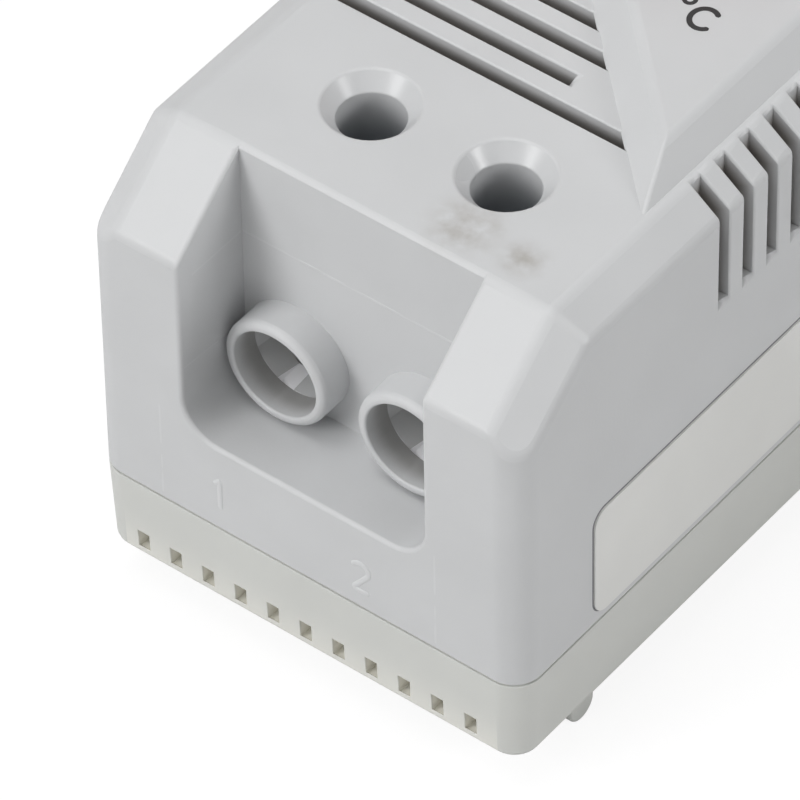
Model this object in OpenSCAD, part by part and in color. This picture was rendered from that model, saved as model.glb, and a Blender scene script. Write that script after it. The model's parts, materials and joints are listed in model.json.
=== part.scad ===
// Small bimetal thermostat for a control cabinet: a moulded housing that snaps on a
// 35 mm mounting rail, two cage-clamp terminals at one end and a setting dial on top.
// X runs across the body, Y along it with the terminals at the low end, Z up from the rail.
// The origin is on the surface the part rests on, under the middle of the body.

/* [Body] */
// Width of the housing
body_w = 33; // [31:0.5:36]
// Length of the housing
body_l = 60; // [58:1:70]
// Height of the base plate
base_h = 6.8; // [6.6:0.1:8]
// Height of the cover above the base plate
cover_h = 26.3; // [26:0.1:30]
// Wall thickness of cover and base
wall_t = 1.8; // [1.4:0.1:2]
// Radius of the upright corners
corner_r = 2; // [1:0.5:3]
// Length of the slope at each end, along the body
slope_run = 6.25; // [5:0.25:6.5]
// Height of the slope at each end
slope_drop = 5.4; // [4:0.2:6]
// Width of the bevel along the long top edges
bevel_run = 2.3; // [1.5:0.1:2.6]
// Height of the bevel along the long top edges
bevel_drop = 1.75; // [1.2:0.05:2]
// Width of the groove that marks the seam
seam_w = 0.2; // [0.2:0.05:0.5]
// How far the base plate narrows towards the rail, on each side
base_draft = 0.3; // [0.1:0.05:0.5]

/* [Wire pocket] */
// Width of the pocket in the terminal end
pocket_w = 18.5; // [18.4:0.1:20]
// Height of the pocket floor above the base plate
pocket_rise = 6.95; // [5.5:0.05:7]
// Radius of the lower corners of the pocket
pocket_r = 2.6; // [1:0.1:3]
// Wall behind the pocket
pocket_wall = 1.5; // [1:0.1:1.5]
// Bore of each wire sleeve
sleeve_bore_d = 6.35; // [5.5:0.05:6.4]
// Outer diameter of each wire sleeve
sleeve_d = 7.8; // [7.6:0.05:8]
// Length of each wire sleeve in front of the pocket wall
sleeve_l = 2.46; // [2.4:0.02:3.5]
// Height of the sleeves above the bottom of the base plate
sleeve_z = 18; // [18:0.1:18.6]

/* [Terminals] */
// Distance between the two poles
pole_pitch = 10.2; // [10.1:0.1:10.4]
// Distance of the terminal screws from the terminal end
screw_y = 13.8; // [13.6:0.1:14.4]
// Bore of each screwdriver hole
access_bore_d = 4.4; // [4:0.1:4.6]
// Wide end of each screwdriver countersink
access_sink_d = 6.3; // [5.6:0.1:6.6]
// Depth of each screwdriver countersink
access_sink_h = 1.15; // [0.6:0.05:1.2]
// Thread diameter of the terminal screws
screw_d = 3; // [2.5:0.1:3]
// Head diameter of the terminal screws
screw_head_d = 4.9; // [4.7:0.1:5.2]
// Travel of each clamp cage
cage_travel = 1.6; // [1:0.1:1.6]
// Opening of each clamp cage below its bar when it is slack
wire_gap = 2.4; // [2.2:0.1:2.6]
// Thickness of the terminal bars
bar_t = 1; // [0.8:0.1:1]

/* [Vents] */
// Distance from one vent slot to the next
slot_pitch = 2.45; // [2.3:0.05:2.6]
// Width of the vent slots
slot_w = 1.05; // [0.9:0.05:1.3]
// Distance of the first vent slot from the terminal end
slot_y = 19.85; // [19.6:0.05:20.4]
// Number of vent slots in each side
side_slots = 12; // [8:1:12]
// Height of the upright part of the side slots, below the top of the cover
side_slot_h = 9; // [7:0.5:11]
// Number of small windows in each end of the base plate
windows = 11; // [7:1:11]
// Distance from one window to the next
window_pitch = 2.555; // [2.4:0.005:2.6]
// Width of a window
window_w = 0.9; // [0.7:0.1:1.2]
// Height of a window
window_h = 1.1; // [1:0.1:1.6]

/* [Dial] */
// Height of the raised dial platform
plat_h = 2; // [1.5:0.1:2.5]
// Diameter of the setting knob
knob_d = 13.6; // [12:0.2:15]
// Height of the knob above the platform, with its gap
knob_h = 4.9; // [4.5:0.1:6]
// Diameter of the knob's hub in the cover
hub_d = 5.2; // [5:0.1:5.6]
// Diameter of the setting spindle's thread
spindle_d = 4; // [3.5:0.1:4.2]
// Turning range of the knob in degrees
knob_turn = 270; // [240:10:280]

/* [Switch] */
// Thickness of the bimetal strip
strip_t = 0.6; // [0.4:0.1:0.8]
// Width of the bimetal strip
strip_w = 7; // [6:0.2:7]
// Thickness of the setting lever
lever_t = 1; // [0.8:0.1:1.2]
// Gap between the contacts at rest
contact_gap = 1.1; // [1:0.05:1.3]
// Diameter of the contacts
contact_d = 3; // [2.4:0.1:3.2]

/* [Rail clip] */
// Height of the rail clip under the base plate
clip_h = 3; // [2.8:0.1:3.6]
// Width of the mounting rail between its outer edges
rail_w = 35; // [34.8:0.1:35.2]
// Thickness of the rail's edges
rail_t = 1; // [0.9:0.1:1.1]
// Travel of the latch
latch_travel = 2.5; // [2:0.1:2.5]

/* [Label] */
// Length of the rating label
label_l = 36; // [30:1:40]
// Height of the rating label
label_h = 8.8; // [7:0.2:9.2]
// Thickness of the rating label
label_t = 0.15; // [0.1:0.05:0.3]

/* [Hidden] */
$fn = 48;

// Overrun of every cut, and thickness of the slices that a drafted block is drawn between
over = 0.5;
slice_t = 0.01;
// Clearance between parts that pass each other, of a loose seat, and of a running fit
gap = 0.3;
slip = 0.1;
fit = 0.05;
// Steps on a rounded corner of an outline
corner_steps = 8;
arc_step = 90 / corner_steps;

half_w = body_w / 2;
slope_angle = atan(slope_drop / slope_run);
bevel_angle = atan(bevel_drop / bevel_run);

// Levels above the surface that the part rests on
z_base = clip_h;
floor_t = 1.6;
z_floor = z_base + floor_t;
z_seam = z_base + base_h;
z_top = z_seam + cover_h;
z_plat = z_top + plat_h;
z_pocket = z_seam + pocket_rise;
z_wire = z_base + sleeve_z;

// Raised dial platform: its front edge lies half a rib past the last full vent slot, its sides
// stand a shelf inside the bevels, and its wing's front edge runs at a slope across the top
top_slots = 4;
slot_short = 3.65;
plat_run = 2.1;
plat_shelf = 0.45;
wing_lean = 0.97;
plat_y = slot_y + top_slots * slot_pitch - (slot_pitch - slot_w) / 2;
plat_back = body_l - slope_run;
slot_edge = half_w - bevel_run;
plat_edge = slot_edge - plat_shelf;
plat_top = slot_edge - plat_run;
plat_skin = 0.9;
knob_y = (plat_y + plat_back) / 2;

// Clamp cages, terminal bars and screws
cage_w = 6.4;
cage_l = 6.4;
cage_side = 0.9;
cage_wall = 1.2;
cage_top_t = 1.6;
bar_w = 4;
z_bar = z_wire + wire_gap / 2;
z_cage = z_bar - wire_gap - cage_wall;
z_cage_lid = z_bar + bar_t + gap + slip;
cage_h = z_cage_lid + cage_top_t - z_cage;
screw_head_h = 1.6;
screw_slot_w = 0.6;
z_head = z_cage + cage_h + cage_travel + gap;
chimney_wall = 1.2;
z_chimney = z_head + screw_head_h + gap;

// Insulating carrier that holds both terminals
carrier_wall = 1.5;
carrier_leg = 2;
carrier_rise = 2.5;
carrier_y = slope_run + pocket_wall + gap;
duct_sides = 8;
throat_w = sleeve_bore_d - slip;
throat_y = slope_run - gap;
carrier_back = screw_y + cage_l / 2 + gap + carrier_wall;
duct_w = 5.8;
z_carrier = z_cage - gap - carrier_wall;
z_carrier_top = z_bar + bar_t + carrier_rise;
bar_gap = 1.2;
bar_leg_y = carrier_back + bar_gap;

// Rail clip: fixed hook, sliding latch and its channel in the base
rail_y = (body_l - rail_w) / 2;
rail_back = (body_l + rail_w) / 2;
lip_l = 1.8;
lip_t = z_base - rail_t - gap;
hook_w = 24;
hook_l = 3.2;
lead_in = 0.8;
latch_w = 12;
latch_l = 3.2;
latch_y = rail_y - gap + slip - latch_l;
latch_h = z_base - gap;
grip_w = 30.4;
grip_d = 2.4;
grip_y = latch_y - grip_d / 2;
neck_w = 5.5;
neck_y = latch_y + gap + slip;
latch_head_w = 9.5;
latch_head_h = 1.4;
latch_head_l = 7.4;
latch_head_step = 0.5;
latch_head_y = neck_y + latch_head_step;
spring_room = 5;
channel_y = latch_head_y - spring_room;
channel_h = 2;
channel_floor = 1.2;
z_channel = z_base + channel_floor;
channel_wall = 1.3;
z_channel_top = z_channel + channel_h + channel_wall;
z_latch_head = z_channel + gap;
block_w = 14;

// Setting lever, bimetal strip and contacts
lever_w = 8.4;
lever_reach = 7;
lever_tail = 1.5;
bracket_l = 6.5;
bracket_room = 3.45;
root_in = 4.5;
contact_in = 2;
contact_room = 5.5;
rivet_in = 2;
trim_in = 5.35;
magnet_w = 4.4;
magnet_h = 2.2;
magnet_room = 1;
pivot_y = body_l - wall_t - bracket_room - bracket_l / 2;
strip_root_y = pivot_y - root_in;
contact_y = bar_leg_y + bar_t + contact_room;
strip_l = strip_root_y - contact_y + contact_in;
armature_y = contact_y + contact_d / 2 + magnet_room + magnet_w / 2;
rivet_y = strip_root_y - rivet_in;
rivet_x = 1.8;
rivet_d = 1.5;
rivet_head_d = 2.6;
rivet_head_h = 0.5;
trim_y = knob_y - trim_in;
trim_d = 2;
trim_h = 2.8;
button_h = 0.7;
contact_shank_d = 1.6;
strip_rise = 8.4;
z_strip = z_floor + strip_rise;
z_lever = z_strip + strip_t + slip;
z_fixed = z_strip - button_h - contact_gap;
z_foot = z_fixed - button_h - bar_t;
foot_x = 2;
yoke_w = 5.2;
yoke_h = 0.8;
armature_h = 0.8;
armature_gap = 1;
z_yoke = z_strip - armature_h - armature_gap - magnet_h - yoke_h;
pin_d = 1.6;
z_pin = z_lever + lever_t + pin_d / 2 + gap;
ear_t = 1;
ear_l = 3;
wing_l = 4;

// Pivot bracket and the bar that runs under it
bracket_t = 1.2;
z_run = z_channel_top + gap;
z_bracket = z_run + bar_t;
bracket_ear_x = lever_w / 2 + gap;
bracket_screw_d = 3;
bracket_head_d = 5;
bracket_head_h = 1.4;

// Bridge that carries the spindle bush
bridge_t = 1.2;
bridge_l = 7;
bridge_foot = 3.2;
bridge_x = half_w - wall_t - 2 * gap - bridge_foot - bridge_t;
bridge_screw_x = bridge_x + bridge_t + bridge_foot / 2 + slip;
bridge_screw_d = 1.8;
bridge_head_d = 3;
bridge_head_h = 1;
bridge_drop = 0.4;
bridge_h = 14.6;
z_bridge_foot = z_seam - bridge_drop;
z_bridge = z_bridge_foot + bridge_h;
wing_x = bridge_x - 2 * gap;
bush_d = 6;
bush_flange_d = 7.6;
bush_flange_h = 1;
bush_drop = 2;
post_d = 3.8;

// Setting spindle and knob
z_tip = z_lever + lever_t + gap;
tip_d = 2.4;
tip_h = 1.5;
thread_l = 13.5;
drive_d = 2.6;
drive_flat = 0.35;
z_knob = z_plat + gap;
z_knob_top = z_plat + knob_h;
hub_reach = 1.9;
z_hub = z_plat - wall_t - hub_reach;
skirt_h = 1.2;
grip_inset = 1.1;
flutes = 18;
flute_d = 1.3;
flute_share = 0.35;
knob_edge = 0.5;
pointer_w = 0.9;
pointer_h = 0.3;
ring_d = 8;
ring_t = 0.6;
ring_groove = 0.5;
z_ring = z_plat - wall_t - gap - ring_t;
stop_r = 4.6;
stop_d = 1.2;
stop_h = 0.9;
stop_half = 180 - knob_turn / 2 - asin((stop_d / 2 + gap) / stop_r);

// Snap tabs between base and cover
tab_w = 6;
tab_t = 1.2;
tab_h = 4;
tab_barb = 0.5;
tab_in = 10;
tab_corner = 1.2;
tabs_y = [tab_in + tab_w / 2, body_l - wall_t - tab_corner - tab_w / 2];
carrier_w = 2 * (half_w - wall_t - slip - tab_t - 2 * gap);

// Base plate: windows above a closed strip, and the thickness of the floor that they cut into
window_rise = 1;
window_shift = -0.33;
window_drop = 0.5;
window_reach = 1.2;
window_depth = wall_t + window_reach;

// Label on the side wall
label_y = 7.3;
label_rise = 0.7;
label_r = 1.2;

// Springs: wire, coil and number of turns
lever_spring_wire = 0.5;
lever_spring_room = wing_x - strip_w / 2 - 2 * gap;
lever_spring_share = 0.68;
lever_spring_d = lever_spring_room * lever_spring_share;
lever_spring_turns = 5;
lever_spring_x = -strip_w / 2 - gap - lever_spring_room / 2;
lever_spring_h = 5.7;
z_lever_spring = z_lever - lever_spring_h;
latch_spring_wire = 0.3;
latch_spring_d = 1.9;
latch_spring_turns = 4;
rings_per_turn = 8;
wire_sides = 6;

// Points of an arc of a quarter turn
function quarter(x, y, r, start) =
    [for (i = [0:corner_steps]) [x + r * cos(start + i * arc_step), y + r * sin(start + i * arc_step)]];

// Rounded rectangle centred on X, from 0 to l
function rounded(w, l, r) = concat(
    quarter(w / 2 - r, l - r, r, 0), quarter(r - w / 2, l - r, r, 90),
    quarter(r - w / 2, r, r, 180), quarter(w / 2 - r, r, r, 270));

// Side view of the cover, drawn in by a wall
function side_view(inset, low) = [
    [inset, low],
    [body_l - inset, low],
    [body_l - inset, z_top - slope_drop - inset * tan((90 - slope_angle) / 2)],
    [body_l - slope_run - inset * tan(slope_angle / 2), z_top - inset],
    [slope_run + inset * tan(slope_angle / 2), z_top - inset],
    [inset, z_top - slope_drop - inset * tan((90 - slope_angle) / 2)]];

// Cross-section of what a long edge bevel takes away, measured from the sharp corner
function bevel_view(inset) =
    let (a = [-bevel_run - inset * tan(bevel_angle / 2), -inset],
         b = [-inset, -bevel_drop - inset * tan((90 - bevel_angle) / 2)],
         d = (b - a) / norm(b - a))
    [a - over * d, b + over * d, [over, (b + over * d)[1]], [over, over],
     [(a - over * d)[0], over]];

// Puts a shape measured from the terminal end into the frame of the part
module placed() {
    translate([0, -body_l / 2, 0]) children();
}

module both_sides() {
    children();
    mirror([1, 0, 0]) children();
}

// Block between two corners
module block(low, high) {
    translate(low) cube(high - low);
}

// Round bar along Y, from y0 to y1
module bar_y(x, y0, y1, z, d) {
    translate([x, y0, z]) rotate([-90, 0, 0]) cylinder(d = d, h = y1 - y0);
}

// Eight-sided passage along Y at a pole, as wide as a at y0 and as wide as b at y1
module duct(y0, y1, a, b) {
    half_side = 180 / duct_sides;
    translate([pole_pitch / 2, y0, z_wire]) rotate([-90, 0, 0]) rotate([0, 0, half_side])
        cylinder(d1 = a / cos(half_side), d2 = b / cos(half_side), h = y1 - y0, $fn = duct_sides);
}

module bevel_cut(inset) {
    reach = slope_run + slope_drop;
    translate([half_w, body_l + over, z_top])
        rotate([90, 0, 0]) linear_extrude(body_l + 2 * over) polygon(bevel_view(inset));
    for (end = [0, 1])
        translate([0, end * body_l, 0]) mirror([0, end, 0])
            translate([half_w, slope_run, z_top]) rotate([slope_angle, 0, 0])
                translate([0, reach, 0]) rotate([90, 0, 0])
                    linear_extrude(2 * reach) polygon(bevel_view(inset));
}

// The cover's outer form, drawn in by a wall, from a level upwards
module cover_form(inset, low) {
    difference() {
        intersection() {
            translate([0, inset, low]) linear_extrude(z_top - low)
                polygon(rounded(body_w - 2 * inset, body_l - 2 * inset, max(corner_r - inset, fit)));
            translate([-body_w, 0, 0]) rotate([90, 0, 90])
                linear_extrude(2 * body_w) polygon(side_view(inset, low - over));
        }
        both_sides() bevel_cut(inset);
    }
}

// The wire pocket, grown by a wall
module pocket_form(grow) {
    r = pocket_r + grow;
    w = pocket_w / 2 + grow;
    low = z_pocket - grow;
    translate([0, slope_run + grow, 0]) rotate([90, 0, 0])
        linear_extrude(slope_run + grow + over)
            polygon(concat(quarter(r - w, low + r, r, 180), quarter(w - r, low + r, r, 270),
                           [[w, z_top + over], [-w, z_top + over]]));
}

// A block with sloping sides: bottom outline, and top outline drawn in
module sloped(bottom, top) {
    hull() {
        translate([0, 0, z_top - slip]) linear_extrude(slice_t) polygon(bottom);
        translate([0, 0, z_plat - slice_t]) linear_extrude(slice_t) polygon(top);
    }
}

// The dial platform: a rectangle behind, and a wing that reaches forward on the right
module platform_form() {
    e = plat_edge;
    t = plat_top;
    r = plat_run;
    rear = plat_y + r * sqrt(1 + wing_lean * wing_lean);
    sloped([[-e, plat_y], [e, plat_y], [e, plat_back], [-e, plat_back]],
           [[-t, plat_y + r], [t, plat_y + r], [t, plat_back - r], [-t, plat_back - r]]);
    sloped([[e, plat_y - wing_lean * e], [e, knob_y], [(plat_y - knob_y) / wing_lean, knob_y]],
           [[t, rear - wing_lean * t], [t, knob_y], [(rear - knob_y) / wing_lean, knob_y]]);
}

module top_slot_cuts() {
    for (i = [0:top_slots - 1]) {
        y = slot_y + i * slot_pitch;
        // the second slot stops short of the platform
        stop = (plat_y - y) / wing_lean - (i == 1 ? slot_short : 0);
        block([-half_w, y, z_top - wall_t - over], [stop, y + slot_w, z_top + over]);
    }
}

module side_slot_cuts() {
    for (i = [0:side_slots - 1]) {
        y = slot_y + i * slot_pitch;
        both_sides()
            block([slot_edge, y, z_top - side_slot_h], [half_w + over, y + slot_w, z_top + over]);
    }
}

module chimneys() {
    both_sides() translate([pole_pitch / 2, screw_y, z_chimney])
        cylinder(d = access_bore_d + 2 * chimney_wall, h = z_top - z_chimney - over);
}

module access_cuts() {
    both_sides() translate([pole_pitch / 2, screw_y, 0]) {
        translate([0, 0, z_chimney - over])
            cylinder(d = access_bore_d, h = z_top - z_chimney + over);
        translate([0, 0, z_top - access_sink_h])
            cylinder(d1 = access_bore_d, d2 = access_sink_d, h = access_sink_h);
        translate([0, 0, z_top]) cylinder(d = access_sink_d, h = over);
    }
}

// Round groove in which the knob's stop pin runs, closed over the sector below the dial
module stop_groove() {
    reach = 2 * stop_r;
    translate([0, knob_y, z_plat - stop_h - slip]) difference() {
        cylinder(r = stop_r + stop_d / 2 + slip, h = stop_h + slip + over);
        translate([0, 0, -over]) cylinder(r = stop_r - stop_d / 2 - slip, h = stop_h + 3 * over);
        translate([0, 0, -over]) linear_extrude(stop_h + 3 * over)
            polygon([[0, 0], [-reach * sin(stop_half), -reach * cos(stop_half)],
                     [reach * sin(stop_half), -reach * cos(stop_half)]]);
    }
}

// Barb of the snap tabs, grown by a clearance
module barbs(grow) {
    for (y = tabs_y) both_sides()
        block([half_w - wall_t - slip - over, y - tab_w / 2 - grow, z_seam + tab_h / 2 - grow],
              [half_w - wall_t - slip + tab_barb + grow, y + tab_w / 2 + grow, z_seam + tab_h + grow]);
}

module housing_cover() {
    inner = plat_top - plat_skin;
    color("#cdcfd1") placed() difference() {
        union() {
            difference() {
                union() {
                    difference() {
                        cover_form(0, z_seam);
                        difference() {
                            cover_form(wall_t, z_seam - over);
                            pocket_form(pocket_wall);
                            chimneys();
                        }
                        top_slot_cuts();
                        side_slot_cuts();
                    }
                    platform_form();
                }
                pocket_form(0);
                block([-inner, plat_y + plat_run + plat_skin, z_top - wall_t - over],
                      [inner, plat_back - plat_run - plat_skin, z_plat - wall_t]);
            }
            both_sides()
                bar_y(pole_pitch / 2, slope_run - sleeve_l, slope_run + pocket_wall / 2, z_wire, sleeve_d);
        }
        both_sides() {
            bar_y(pole_pitch / 2, 0, throat_y, z_wire, sleeve_bore_d);
            duct(throat_y - slice_t, carrier_y - gap, throat_w, duct_w);
            duct(carrier_y - gap - slice_t, carrier_y, duct_w, duct_w);
        }
        access_cuts();
        stop_groove();
        translate([0, knob_y, z_top - wall_t]) cylinder(d = hub_d + 2 * fit, h = plat_h + wall_t + over);
        barbs(slip);
    }
}

// A window of the base plate, whose sill falls away inwards
module window_cut() {
    low = z_base + window_rise;
    high = low + window_h;
    translate([-window_w / 2, 0, 0]) rotate([90, 0, 90]) linear_extrude(window_w)
        polygon([[-over, high], [-over, low], [0, low], [window_drop, low - window_drop],
                 [window_depth, low - window_drop], [window_depth, high]]);
}

module base_shell() {
    difference() {
        hull() {
            translate([0, base_draft, z_base]) linear_extrude(slice_t)
                polygon(rounded(body_w - 2 * base_draft, body_l - 2 * base_draft, corner_r - base_draft));
            translate([0, 0, z_seam - slice_t]) linear_extrude(slice_t)
                polygon(rounded(body_w, body_l, corner_r));
        }
        translate([0, wall_t, z_floor]) linear_extrude(base_h)
            polygon(rounded(body_w - 2 * wall_t, body_l - 2 * wall_t, max(corner_r - wall_t, fit)));
        // step round the top edge that shows as the seam groove
        difference() {
            block([-body_w, -over, z_seam - seam_w], [body_w, body_l + over, z_seam + over]);
            translate([0, seam_w, 0]) linear_extrude(z_top)
                polygon(rounded(body_w - 2 * seam_w, body_l - 2 * seam_w, corner_r - seam_w));
        }
        for (end = [0, 1], i = [0:windows - 1])
            translate([window_shift + (i - (windows - 1) / 2) * window_pitch, end * body_l, 0]) mirror([0, end, 0])
                window_cut();
    }
}

// The hook under the far edge of the rail, seen from the side
module hook_form() {
    y = rail_back + gap - slip;
    translate([-hook_w / 2, 0, 0]) rotate([90, 0, 90]) linear_extrude(hook_w)
        polygon([[y + hook_l, 0], [y + hook_l, z_base + slice_t], [y, z_base + slice_t], [y, lip_t],
                 [rail_back - lip_l, lip_t], [rail_back - lip_l, lead_in],
                 [rail_back - lip_l + lead_in, 0]]);
}

module base_supports() {
    // posts of the bridge, the lever spring, the magnet and the fixed contact
    both_sides() translate([bridge_screw_x, knob_y, z_floor - slip])
        cylinder(d = post_d, h = z_bridge_foot - z_floor + slip);
    translate([lever_spring_x, knob_y, z_floor - slip])
        cylinder(d = lever_spring_d, h = z_lever_spring - z_floor + slip);
    block([-yoke_w / 2, armature_y - yoke_w / 2, z_floor - slip], [yoke_w / 2, armature_y + yoke_w / 2, z_yoke]);
    block([-bar_w, contact_y - bar_w / 2, z_floor - slip], [foot_x, contact_y + bar_w / 2, z_foot]);
    // pads under the long bar and the pivot bracket
    for (y = [contact_y - bar_w / 2, knob_y - bar_w])
        block([pole_pitch / 2 - bar_w / 2, y, z_floor - slip], [pole_pitch / 2 + bar_w / 2, y + bar_w / 2, z_run]);
    block([-bar_w, pivot_y - bracket_l / 2, z_floor - slip],
          [pole_pitch / 2 + bar_w / 2, pivot_y + bracket_l / 2, z_run]);
    // snap tabs
    for (y = tabs_y) both_sides() {
        block([half_w - wall_t - slip - tab_t, y - tab_w / 2, z_floor - slip],
              [half_w - wall_t - slip, y + tab_w / 2, z_seam + tab_h]);
        block([half_w - wall_t - slip - tab_t, y - tab_w / 2, z_floor - slip],
              [half_w - wall_t + slip, y + tab_w / 2, z_seam - seam_w]);
    }
    barbs(0);
}

module base_plate() {
    color("#cbccc8") placed() {
        difference() {
            union() {
                base_shell();
                block([-block_w / 2, channel_y - channel_wall, z_floor - slip],
                      [block_w / 2, latch_head_y + latch_head_l + gap + channel_wall,
                       z_channel_top]);
                hook_form();
                base_supports();
            }
            // channel of the latch, and the slot that its neck passes through
            block([-latch_head_w / 2 - gap, channel_y, z_channel],
                  [latch_head_w / 2 + gap, latch_head_y + latch_head_l + gap, z_channel + channel_h]);
            block([-neck_w / 2 - gap, neck_y - latch_travel - gap, z_base - over],
                  [neck_w / 2 + gap, latch_y + latch_l + gap, z_channel + over]);
            both_sides() translate([bridge_screw_x, knob_y, z_floor])
                cylinder(d = bridge_screw_d, h = z_seam);
            translate([0, pivot_y, z_floor]) cylinder(d = bracket_screw_d, h = z_seam);
        }
    }
}

// Blank rating label, flat on the right-hand side wall
module rating_label() {
    color("#d2d2cf") placed()
        translate([half_w, label_y, z_seam + label_rise]) rotate([90, 0, 90]) linear_extrude(label_t)
            translate([label_l / 2, 0]) polygon(rounded(label_l, label_h, label_r));
}

module setting_knob() {
    color("#b3302b") placed() translate([0, knob_y, 0]) difference() {
        union() {
            translate([0, 0, z_knob]) cylinder(d = knob_d, h = skirt_h);
            difference() {
                union() {
                    translate([0, 0, z_knob])
                        cylinder(d = knob_d - 2 * grip_inset, h = z_knob_top - knob_edge - z_knob);
                    translate([0, 0, z_knob_top - knob_edge])
                        cylinder(d1 = knob_d - 2 * grip_inset, d2 = knob_d - 2 * grip_inset - 2 * knob_edge,
                                 h = knob_edge);
                }
                // shallow flutes round the grip
                for (i = [0:flutes - 1]) rotate([0, 0, (i + 1 / 2) * 360 / flutes])
                    translate([knob_d / 2 - grip_inset + flute_d * flute_share, 0, z_knob + skirt_h])
                        cylinder(d = flute_d, h = knob_h);
            }
            translate([0, 0, z_hub]) cylinder(d = hub_d, h = z_knob - z_hub + slip);
            translate([0, stop_r, z_plat - stop_h]) cylinder(d = stop_d, h = stop_h + gap + slip);
        }
        // socket for the spindle, with its flat
        difference() {
            translate([0, 0, z_hub - over])
                cylinder(d = drive_d + 2 * fit, h = z_knob_top - 2 * knob_edge - z_hub + over);
            block([-drive_d, drive_d / 2 - drive_flat + fit, z_hub - over],
                  [drive_d, drive_d, z_knob_top]);
        }
        // groove for the retaining ring
        difference() {
            translate([0, 0, z_ring - fit]) cylinder(d = hub_d + over, h = ring_t + 2 * fit);
            translate([0, 0, z_ring - over])
                cylinder(d = hub_d - 2 * ring_groove, h = ring_t + 2 * over);
        }
        pointer_form(fit);
    }
}

module pointer_form(grow) {
    reach = knob_d / 2 - grip_inset - 2 * knob_edge;
    block([-pointer_w / 2 - grow, reach / 4 - grow, z_knob_top - pointer_h - grow],
          [pointer_w / 2 + grow, reach + grow, z_knob_top + grow]);
}

module knob_pointer() {
    color("#f2f2ee") placed() translate([0, knob_y, 0]) pointer_form(0);
}

// Retaining ring in the groove of the knob's hub
module knob_ring() {
    color("#8c8f93") placed() translate([0, knob_y, z_ring]) difference() {
        cylinder(d = ring_d, h = ring_t);
        translate([0, 0, -over]) cylinder(d = hub_d - 2 * ring_groove + 2 * fit, h = ring_t + 2 * over);
        block([-drive_d / 2, -ring_d, -over], [drive_d / 2, 0, ring_t + over]);
    }
}

module setting_spindle() {
    color("#c9b36a") placed() translate([0, knob_y, 0]) {
        translate([0, 0, z_tip]) cylinder(d = tip_d, h = tip_h);
        translate([0, 0, z_tip + tip_h]) cylinder(d = spindle_d, h = thread_l);
        difference() {
            translate([0, 0, z_tip + tip_h + thread_l])
                cylinder(d = drive_d, h = z_knob_top - 3 * knob_edge - z_tip - tip_h - thread_l);
            block([-drive_d, drive_d / 2 - drive_flat, z_tip + tip_h + thread_l + over],
                  [drive_d, drive_d, z_knob_top]);
        }
    }
}

// Threaded bush of the spindle, seated in the bridge
module spindle_bush() {
    color("#c9b36a") placed() translate([0, knob_y, 0]) difference() {
        union() {
            translate([0, 0, z_bridge - bush_drop])
                cylinder(d = bush_d, h = bush_drop + bridge_t + bush_flange_h);
            translate([0, 0, z_bridge + bridge_t]) cylinder(d = bush_flange_d, h = bush_flange_h);
        }
        translate([0, 0, z_bridge - bush_drop - over])
            cylinder(d = spindle_d + 2 * fit, h = bush_drop + bridge_t + bush_flange_h + 2 * over);
    }
}

module bridge_bracket() {
    y0 = knob_y - bridge_l / 2;
    y1 = knob_y + bridge_l / 2;
    color("#a9acb0") placed() difference() {
        union() {
            block([-bridge_x - bridge_t, y0, z_bridge], [bridge_x + bridge_t, y1, z_bridge + bridge_t]);
            both_sides() {
                block([bridge_x, y0, z_bridge_foot], [bridge_x + bridge_t, y1, z_bridge + bridge_t]);
                block([bridge_x, y0, z_bridge_foot],
                      [bridge_x + bridge_t + bridge_foot, y1, z_bridge_foot + bridge_t]);
            }
        }
        translate([0, knob_y, z_bridge - over]) cylinder(d = bush_d + 2 * fit, h = bridge_t + 2 * over);
        both_sides() translate([bridge_screw_x, knob_y, z_bridge_foot - over])
            cylinder(d = bridge_screw_d + slip, h = bridge_t + 2 * over);
    }
}

// A slotted cheese-head screw that points down, from its seat
module slotted_screw(d, h, head_d, head_h) {
    difference() {
        union() {
            translate([0, 0, -h]) cylinder(d = d, h = h);
            cylinder(d = head_d, h = head_h);
        }
        block([-head_d, -screw_slot_w / 2, head_h / 2], [head_d, screw_slot_w / 2, head_h + over]);
    }
}

module bridge_screws() {
    color("#b9bcc0") placed() both_sides()
        translate([bridge_screw_x, knob_y, z_bridge_foot + bridge_t])
            slotted_screw(bridge_screw_d - slip, 2 * bridge_t + post_d / 2, bridge_head_d, bridge_head_h);
}

module setting_lever() {
    y0 = knob_y - lever_reach;
    y1 = pivot_y + lever_tail;
    color("#b4b7ba") placed() difference() {
        union() {
            block([-lever_w / 2, y0, z_lever], [lever_w / 2, y1, z_lever + lever_t]);
            block([-wing_x, knob_y - wing_l / 2, z_lever], [0, knob_y + wing_l / 2, z_lever + lever_t]);
            both_sides()
                block([lever_w / 2 - ear_t, pivot_y - ear_l / 2, z_lever],
                      [lever_w / 2, pivot_y + ear_l / 2, z_pin + ear_l / 2]);
        }
        translate([-lever_w, pivot_y, z_pin]) rotate([0, 90, 0]) cylinder(d = pin_d + 2 * fit, h = 2 * lever_w);
        for (x = [-rivet_x, rivet_x]) translate([x, rivet_y, z_lever - over])
            cylinder(d = rivet_d + fit, h = lever_t + 2 * over);
        translate([0, trim_y, z_lever - over]) cylinder(d = trim_d + fit, h = lever_t + 2 * over);
    }
}

module lever_pin() {
    reach = bracket_ear_x + bracket_t + gap;
    color("#b9bcc0") placed() translate([-reach, pivot_y, z_pin]) rotate([0, 90, 0])
        cylinder(d = pin_d, h = 2 * reach);
}

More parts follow.
